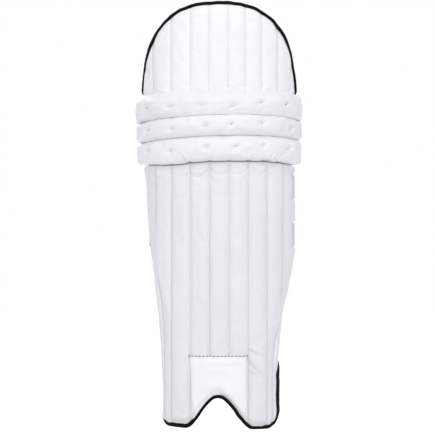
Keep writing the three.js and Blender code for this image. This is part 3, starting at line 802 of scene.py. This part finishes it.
foot = np.linspace(-FOOT_EDGE[-1], FOOT_EDGE[1], 400)
left_side, right_side = (np.linspace(428, float(foot_line(side * FOOT_EDGE[side])), 150)
                         for side in (-1, 1))
shin_line, shin_inward, shin_even = edge_path(
    np.concatenate([-wing_edge(-1, left_side), foot[1:-1], wing_edge(1, right_side[::-1])]),
    np.concatenate([left_side, foot_line(foot[1:-1]), right_side[::-1]]))
s, z = shin_line.T
front = np.full(len(shin_line), 6.0)
front = mix(front, 2.7, ramp(-s, 88, 106))
front = mix(front, 1.2, ramp(z, 14, 30) * (s < 0))
corner = 6 * (s > 60)    # how much higher than the notch's rim it starts to thicken
front = mix(front, 9.4, ramp(z, 6 + corner, 24 + corner) * (s > 0))
front = mix(front, 2.5, ramp(z, 98, 132) * (s > 0))
wide = 1 + 0.4 * bump(s, -62, 20) * (z < 22)
wide = wide + 1.2 * ramp(z, 14, 38) * (1 - ramp(z, 88, 130)) * (s > 90)
bind_edge("shin_edge_binding", shin_line, shin_inward, shin_even, front, wide, "shin",
          "shin_binding")
swing = swept(500) * FLAP["edge"]
flap_line, flap_inward, flap_even = edge_path(swing[::-1], flap_top(swing[::-1]))
s, z = flap_line.T
front = mix(6.3, 8.6, ramp(-s, 90, 130))
front = mix(front, 9.4, ramp(s, 70, 130))
flare = np.where(s < 0, FLAP_FLARE["left"], FLAP_FLARE["right"])
front = front + (1 - rise(z, FLAP["base"], 594)) * flare
front = front - 2.0 * bump(z, FLAP_WAIST["at"], FLAP_WAIST["width"]) * (s > 0)
bind_edge("flap_edge_binding", flap_line, flap_inward, flap_even, front, 1 + 0 * front,
          "thigh_flap", "thigh_binding")

# ---- Instep patch -------------------------------------------------------------------------------
# A smooth bright patch of coated cloth over the channels above the notch, sewn down along its top
# and both sides, and caught under the binding at its foot.
PATCH = {"left_foot": -42.0, "left_top": -47.5, "right": 43.5, "top": 122.3, "width": 90,
         "tucked_in": 4, "thick": 0.8}
SPAN = 9    # the patch bridges the seams under it, this many columns to each side


def standing(made, s, z):
    """How far a panel's face stands out of the middle layer at each point of its grid."""
    out = outward(s, z)
    face = points_of(made, s.size).reshape(*s.shape, 3)
    return ((face - bend(s, z, 0)) * out).sum(-1) / (out ** 2).sum(-1)


shin_w = standing(shin, shin_s, shin_z)


def shin_height(s, z):
    """The shin's face between the points of its grid, inside the outer channels."""
    column = s / (CHANNEL_WIDTH / STEPS) + 4.5 * STEPS
    found = 0
    for c, share in ((np.floor(column), 1 - column % 1), (np.floor(column) + 1, column % 1)):
        c = c.astype(int)
        row = np.clip((z - shin_low[c]) / (shin_high[c] - shin_low[c]), 0, 1) * (SHIN_ROWS - 1.001)
        r = row.astype(int)
        found = found + share * mix(shin_w[r, c], shin_w[r + 1, c], row - r)
    return found


over, up = np.meshgrid(np.linspace(0, 1, 45), np.linspace(0, 1, 60))
left = mix(PATCH["left_foot"], PATCH["left_top"], up)
s = mix(left, PATCH["right"], over)
z = mix(foot_line(s) + PATCH["tucked_in"] * foot_tilt(s), PATCH["top"], up)
below = shin_height(s, z)
near = np.pad(below, ((0, 0), (SPAN, SPAN)), mode="edge")
spanned = np.max([near[:, k:k + s.shape[1]] for k in range(2 * SPAN + 1)], axis=0)
for _ in range(10):
    spanned[:, 1:-1] = (spanned[:, :-2] + 2 * spanned[:, 1:-1] + spanned[:, 2:]) / 4
loose = ease(np.minimum(over, 1 - over) * PATCH["width"] / 9) * ramp(PATCH["top"] - z, 1, 8)
tucked = (-0.9 * bump(z, 104 + 0.03 * s, 2.4) * ramp(24 - np.abs(s - 3), 0, 14)
          + 0.8 * bump(z, 112, 4.5))
w = mix(below, spanned, loose) + loose * (0.5 * waves(s, z, 34) + tucked)
w = np.maximum(w, below) + 0.45
patch_w = w + PATCH["thick"]
patch = layer("instep_patch_cloth", s, z, patch_w, w)
patch_cloth = coated_cloth("smooth polyurethane coated patch", "F8F8FB", rough=0.34, grain=0.05)
dress(patch, patch_cloth, "shin", "white", "instep_patch")
patch_s, patch_z = s, z

# ---- Stitching ----------------------------------------------------------------------------------
# Lock stitches of bonded polyester thread: down every channel seam, round the patch, along both
# bindings, and a short bar tack in each tuft of the rolls.
stitching = bpy.data.node_groups.new("lock stitches", "GeometryNodeTree")
for name, kind in (("Seam", "Geometry"), ("Pitch", "Float"), ("Length", "Float"),
                   ("Thread", "Float"), ("Material", "Material")):
    stitching.interface.new_socket(name, in_out="INPUT", socket_type=f"NodeSocket{kind}")
stitching.interface.new_socket("Stitches", in_out="OUTPUT", socket_type="NodeSocketGeometry")
given = node(stitching, "NodeGroupInput")
line = node(stitching, "GeometryNodeMeshToCurve", {0: given.outputs["Seam"]})
line = node(stitching, "GeometryNodeResampleCurve",
            {"Curve": line, "Length": given.outputs["Pitch"]}, mode="LENGTH")
along = node(stitching, "GeometryNodeInputTangent")
raised = node(stitching, "GeometryNodeInputNamedAttribute", {"Name": "out"},
              data_type="FLOAT_VECTOR")
turned = node(stitching, "FunctionNodeAlignRotationToVector", {"Vector": along},
              axis="X")
turned = node(stitching, "FunctionNodeAlignRotationToVector",
              {"Rotation": turned, "Vector": raised},
              axis="Z", pivot_axis="X")
ball = node(stitching, "GeometryNodeMeshUVSphere", {"Segments": 6, "Rings": 4, "Radius": 0.5})
size = node(stitching, "ShaderNodeCombineXYZ", {
    0: given.outputs["Length"], 1: given.outputs["Thread"], 2: given.outputs["Thread"]})
thread = node(stitching, "GeometryNodeTransform",
              {"Geometry": ball, "Scale": size})
thread = node(stitching, "GeometryNodeSetShadeSmooth", {0: thread})
placed = node(stitching, "GeometryNodeInstanceOnPoints", {
    "Points": line, "Instance": thread, "Rotation": turned})
made_real = node(stitching, "GeometryNodeRealizeInstances", {0: placed})
named = node(stitching, "GeometryNodeSetMaterial",
             {0: made_real, "Material": given.outputs["Material"]})
node(stitching, "NodeGroupOutput", {0: named})
SOCKETS = {item.name: item.identifier for item in stitching.interface.items_tree
           if item.in_out == "INPUT"}


def polyester_thread(name, code):
    """Twisted polyester thread. It looks dull, with the fine slant of its twist."""
    made, tree = material(name)
    place = node(tree, "ShaderNodeTexCoord").outputs["Object"]
    # The twist of a 0.5 mm thread, drawn at 0.9 mm.
    twist = node(tree, "ShaderNodeTexWave", {"Vector": place, "Scale": 550.0, "Distortion": 1.0},
                 bands_direction="DIAGONAL").outputs["Fac"]
    raised = node(tree, "ShaderNodeBump", {"Height": twist, "Strength": 0.4, "Distance": 0.0001})
    shader = node(tree, "ShaderNodeBsdfPrincipled", {
        "Base Color": tinted(tree, code, twist, 0.0, 1.0, dark=0.85), "Roughness": 0.6,
        "Normal": raised})
    node(tree, "ShaderNodeOutputMaterial", {"Surface": shader})
    return made


def sew(name, lines, body, thread, pitch=4.0, length=3.0, width=0.55):
    """Stitches along lines, each a pair of point and outward-direction arrays."""
    points, outs, edges = [], [], []
    for spots, up in lines:
        start = sum(map(len, points))
        points.append(spots)
        outs.append(up)
        edges += [(start + i, start + i + 1) for i in range(len(spots) - 1)]
    mesh = bpy.data.meshes.new("seam")
    mesh.from_pydata(np.concatenate(points).tolist(), edges, [])
    raised = mesh.attributes.new("out", "FLOAT_VECTOR", "POINT")
    raised.data.foreach_set("vector", np.concatenate(outs).ravel())
    seam = add("seam", mesh)
    sewing = seam.modifiers.new("stitches", "NODES")
    sewing.node_group = stitching
    for key, value in (("Pitch", pitch * MM), ("Length", length * MM), ("Thread", width * MM),
                       ("Material", thread)):
        sewing[SOCKETS[key]] = value
    made = add(name, bpy.data.meshes.new_from_object(evaluated(seam)))
    bpy.data.objects.remove(seam)
    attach(made, body)


def seam_at(s, z, w):
    """A stitch line on the pattern, as sew() takes it."""
    up = outward(s, z)
    return bend(s, z, w), up / np.linalg.norm(up, axis=-1, keepdims=True)


# The channel seams' stitches are real; their grey, darker than the cloth, is painted shade along
# the grooves of the seams.
seam_thread_painted_shade = polyester_thread("bonded polyester thread, grey as painted seam shade", "B2B1B9")
# The tufts' bar tacks and the patch's side stitches are real; their dark grey is painted shade of
# the slit at each tuft and of the patch's side seams.
cord_painted_shade = polyester_thread("waxed polyester tufting cord, grey as painted shade", "8F8E96")
dark_thread = polyester_thread("bonded polyester thread, black", "121113")
flap_w = standing(flap, flap_s, flap_z)
for name, body, s, z, w, rows in (
        ("shin", "shin", shin_s, shin_z, shin_w + 0.5, slice(3, SHIN_ROWS - 2)),
        ("flap", "thigh_flap", flap_s, flap_z, flap_w + 0.4, slice(1, FLAP_ROWS - 3))):
    seams = [seam_at(s[rows, c], z[rows, c], w[rows, c]) for c in range(STEPS, 9 * STEPS, STEPS)]
    sew(f"{name}_seam_stitches", seams, body, seam_thread_painted_shade)
rim = slice(4, None)
sew("patch_edge_stitches", [
    seam_at(patch_s[rim, c] * 0.98, patch_z[rim, c], patch_w[rim, c] + 0.12) for c in (1, -2)],
    "shin", cord_painted_shade, pitch=3.6, length=2.6, width=0.7)
sew("patch_top_stitches", [seam_at(patch_s[-2], patch_z[-1] - 1.7, patch_w[-2] + 0.25)], "shin",
    dark_thread, pitch=6.2, length=4.4, width=1.9)
for name, found in tacks.items():
    lines = []
    ends = np.array([-2.2, 0, 2.2])
    for spot, at_s, at_z, tilt in found:
        over = bend(at_s + ends * math.cos(tilt), at_z + ends * math.sin(tilt), 0)
        up = outward(np.full(3, at_s), np.full(3, at_z)) / MM
        lines.append((spot + (over - bend(at_s, at_z, 0)) - up * 0.0028, up))
    sew(f"{name}_roll_tufting", lines, f"{name}_roll", cord_painted_shade,
        pitch=2.2, length=3.4, width=1.0)
for name, line, into, body in (("shin", shin_line, shin_inward, "shin"),
                               ("flap", flap_line, flap_inward, "thigh_flap")):
    s, z = (line + into * 3.9)[3:-3].T
    sew(f"{name}_binding_stitches", [seam_at(s, z, -1.55 + 0 * s)], body, dark_thread,
        width=0.6)

# ---- Knee cushions and bolsters -----------------------------------------------------------------
# Behind the rolls are three soft cushions for the knee, and down the shin two long bolsters that
# hold the panel off the leg. All are cotton sleeves filled with foam and sewn to the lining.
BOLSTER = {"middle": 248, "half_long": 129, "half_wide": 13, "depth": 12.5}
CUSHION = {"half_long": 55, "margin": 4.2, "depth": 10.5}


def soft_bar(name, s, z, depth, body, node_name):
    """A stuffed bar on the leg side, depth mm deep at each point of its grid."""
    made = layer(name, s, z, np.full_like(s, -1.2), -1.2 - 0.3 - np.maximum(depth, 0.2))
    grid = np.arange(s.size).reshape(s.shape) + s.size
    rim = np.concatenate([grid[[0, -1]].ravel(), grid[:, [0, -1]].ravel(), np.arange(s.size)])
    stuff(made, np.unique(rim), pressure=4.0, cap=2.5, slack=0.03, frames=12)
    refine(made)
    dress(made, cotton, body, "padding", node_name)


for name, channel in (("inner", 2), ("outer", 6)):
    over, up = np.meshgrid(np.linspace(-1, 1, 11), swept(61))
    s = CHANNEL_WIDTH * (channel - 4) + BOLSTER["half_wide"] * over * rounded(up * 0.999, 9)
    z = BOLSTER["middle"] + BOLSTER["half_long"] * up
    depth = BOLSTER["depth"] * rounded(over, 2.4) * rounded(up, 6)
    depth = depth + 0.5 * waves(s, z, 40) * rounded(over, 2) * rounded(up, 2)
    soft_bar(f"{name}_shin_bolster", s, z, depth, "shin", f"{name}_bolster")
for index, name in enumerate(TUFTS):
    over, up = np.meshgrid(swept(37), swept(13))
    s = CUSHION["half_long"] * over
    low, high = roll_line(index, s), roll_line(index + 1, s)
    z = (low + high) / 2 + ((high - low) / 2 - CUSHION["margin"]) * up * rounded(over * 0.999, 8)
    depth = CUSHION["depth"] * rounded(over, 3) * rounded(up, 2.4)
    soft_bar(f"{name}_knee_pillow", s, z, depth, f"{name}_roll", f"{name}_knee_cushion")

# ---- Straps -------------------------------------------------------------------------------------
# Three woven straps, each sewn to a webbing tab inside the left wing. It passes behind the leg and
# is pressed on to loop tape on the right wing, outside it at the knee and calf and inside it at
# the ankle, by hook tape sewn to its end.
STRAP = {"width": 38.0, "thick": 1.6, "tab": 16.0, "overhang": 6.0, "turn": 8.0}
TAPE = {"length": 30.0, "thick": 0.7}
WING_FACE = {"outside": 3.3, "inside": -1.35}    # w of the faces that the loop tapes are sewn to

# Polyester webbing: a firm dull band, ribbed along its length where the warp threads lie.
webbing, tree = material("woven polyester webbing")
pattern = node(tree, "ShaderNodeUVMap", uv_map="pattern")
# Warp ribs 1.9 mm apart with the weft crossing them every 1.4 mm.
weft, warp = ribs(tree, pattern, 0.0014, 0.0019)
cross = node(tree, "ShaderNodeMath", {0: weft, 1: 0.45}, operation="MULTIPLY")
weave = node(tree, "ShaderNodeMath", {0: warp, 1: cross}, operation="ADD")
fray = node(tree, "ShaderNodeTexNoise", {"Vector": pattern, "Scale": 900.0, "Detail": 2.0})
weave = node(tree, "ShaderNodeMath", {0: weave, 1: fray}, operation="ADD")
raised = node(tree, "ShaderNodeBump", {"Height": weave, "Strength": 0.6, "Distance": 0.0003})
shader = node(tree, "ShaderNodeBsdfPrincipled", {
    "Base Color": tinted(tree, "EAEAEE", weave, -1.0, 1.8, dark=0.86), "Roughness": 0.75,
    "Normal": raised, "Sheen Weight": 0.15})
node(tree, "ShaderNodeOutputMaterial", {"Surface": shader})


def pile_tape(name, code, size, deep, rough):
    """Nylon hook or loop tape. It looks like a matt nap of dots, size metres apart."""
    made, tree = material(name)
    pattern = node(tree, "ShaderNodeUVMap", uv_map="pattern")
    pile = node(tree, "ShaderNodeTexVoronoi", {"Vector": pattern, "Scale": 1 / size,
                                               "Randomness": 0.6}).outputs["Distance"]
    raised = node(tree, "ShaderNodeBump", {"Height": pile, "Strength": 0.8, "Distance": deep},
                  invert=True)
    shader = node(tree, "ShaderNodeBsdfPrincipled", {
        "Base Color": tinted(tree, code, pile, 0.0, 0.7, dark=1.0, light=0.72), "Roughness": rough,
        "Normal": raised, "Sheen Weight": 0.3})
    node(tree, "ShaderNodeOutputMaterial", {"Surface": shader})
    return made


loop_pile = pile_tape("nylon loop tape", "D8D8DD", size=0.0012, deep=0.0005, rough=0.95)
hook_pile = pile_tape("nylon hook tape", "D2D2D8", size=0.0016, deep=0.0006, rough=0.6)


def spline(points, count):
    """A centripetal Catmull-Rom line through points, sampled evenly in each span."""
    points = np.concatenate([[2 * points[0] - points[1]], points, [2 * points[-1] - points[-2]]])
    found = []
    for t in np.linspace(0, len(points) - 3, count):
        span = min(int(t), len(points) - 4)
        p0, p1, p2, p3 = points[span:span + 4]
        d0, d1, d2 = (max(np.linalg.norm(b - a) ** 0.5, 1e-4)
                      for a, b in ((p0, p1), (p1, p2), (p2, p3)))
        m1 = ((p1 - p0) / d0 - (p2 - p0) / (d0 + d1) + (p2 - p1) / d1) * d1
        m2 = ((p2 - p1) / d1 - (p3 - p1) / (d1 + d2) + (p3 - p2) / d2) * d1
        f = t - span
        found.append(p1 + m1 * f + (-3 * p1 + 3 * p2 - 2 * m1 - m2) * f ** 2
                     + (2 * p1 - 2 * p2 + m1 + m2) * f ** 3)
    return np.array(found)


def band(name, line, height, width, thick, finish, body, slot, node_name):
    """A flat woven band, its middle line level at height mm and its selvedges rounded."""
    out = left_of(line)
    v = swept(13)
    half = thick / 2 * np.maximum(rounded(v, 7), 0.35)
    levels = np.broadcast_to(height + width / 2 * v, (len(line), len(v)))[..., None]
    back, front = (np.concatenate([line[:, None, :] + sign * out[:, None, :] * half[None, :, None],
                                   levels], -1) * MM for sign in (-1, 1))
    place = np.stack(np.meshgrid(run_along(line), width / 2 * v, indexing="ij"), -1)
    dress(shell(name, back, front, place * MM), finish, body, slot, node_name)


def on_wing(s, height, w):
    """Points of a level line on the wing, x and y in mm."""
    return bend(np.asarray(s, float), height, w)[..., :2] / MM


for name, outside, back, side_x, side_y in (
        ("ankle", False, 104, 58, 92), ("calf", True, 122, 66, 110), ("knee", True, 122, 66, 113)):
    height, wide, thick = STRAP_HEIGHTS[name], STRAP["width"], STRAP["thick"]
    left, right = float(wing_edge(-1, height)), float(wing_edge(1, height))
    tab_w = -2.5
    tab_s = np.linspace(-(left - STRAP["tab"]), -(left + STRAP["overhang"]), 12)
    band(f"{name}_webbing_tab", on_wing(tab_s, height, tab_w), height, wide, thick, webbing,
         "shin", "webbing", f"{name}_strap_tab")
    face, direction = (WING_FACE["outside"], 1) if outside else (WING_FACE["inside"], -1)
    tape_end = right - BINDING_WIDTH - 1
    tape_s = np.linspace(tape_end - TAPE["length"], tape_end, 10)
    loop_at, hook_at, on_tape = (face + direction * n for n in (0.35, 1.1, 2.3))
    band(f"{name}_loop_pile", on_wing(tape_s, height, loop_at), height, wide, TAPE["thick"],
         loop_pile, "shin", "tape", f"{name}_loop_tape")
    band(f"{name}_hook_pile", on_wing(tape_s, height, hook_at), height, wide - 4, TAPE["thick"],
         hook_pile, f"{name}_strap_end", "tape", f"{name}_hook_tape")
    root_s = -(left + STRAP["overhang"] + 0.3)
    turn, inside = STRAP["turn"], -1.1
    if outside:    # it comes round the wing's edge from behind
        bends = [(turn / 2, inside - turn / 2), (turn, turn / 4), (turn / 2, on_tape + 0.3)]
    else:
        bends = [(turn, on_tape - turn / 2), (1, on_tape - 1)]
    route = np.concatenate([
        [on_wing(root_s, height, tab_w), on_wing(root_s - STRAP["overhang"], height, tab_w)],
        [(-side_x, side_y + FRONT_Y), (0, back + FRONT_Y), (side_x, side_y + FRONT_Y)],
        [on_wing(right + past, height, w) for past, w in bends],
        on_wing(tape_s[::-3], height, on_tape)])
    band(f"{name}_webbing_strap", spline(route, 140), height, wide, thick, webbing,
         f"{name}_strap_end", "webbing", f"{name}_strap")
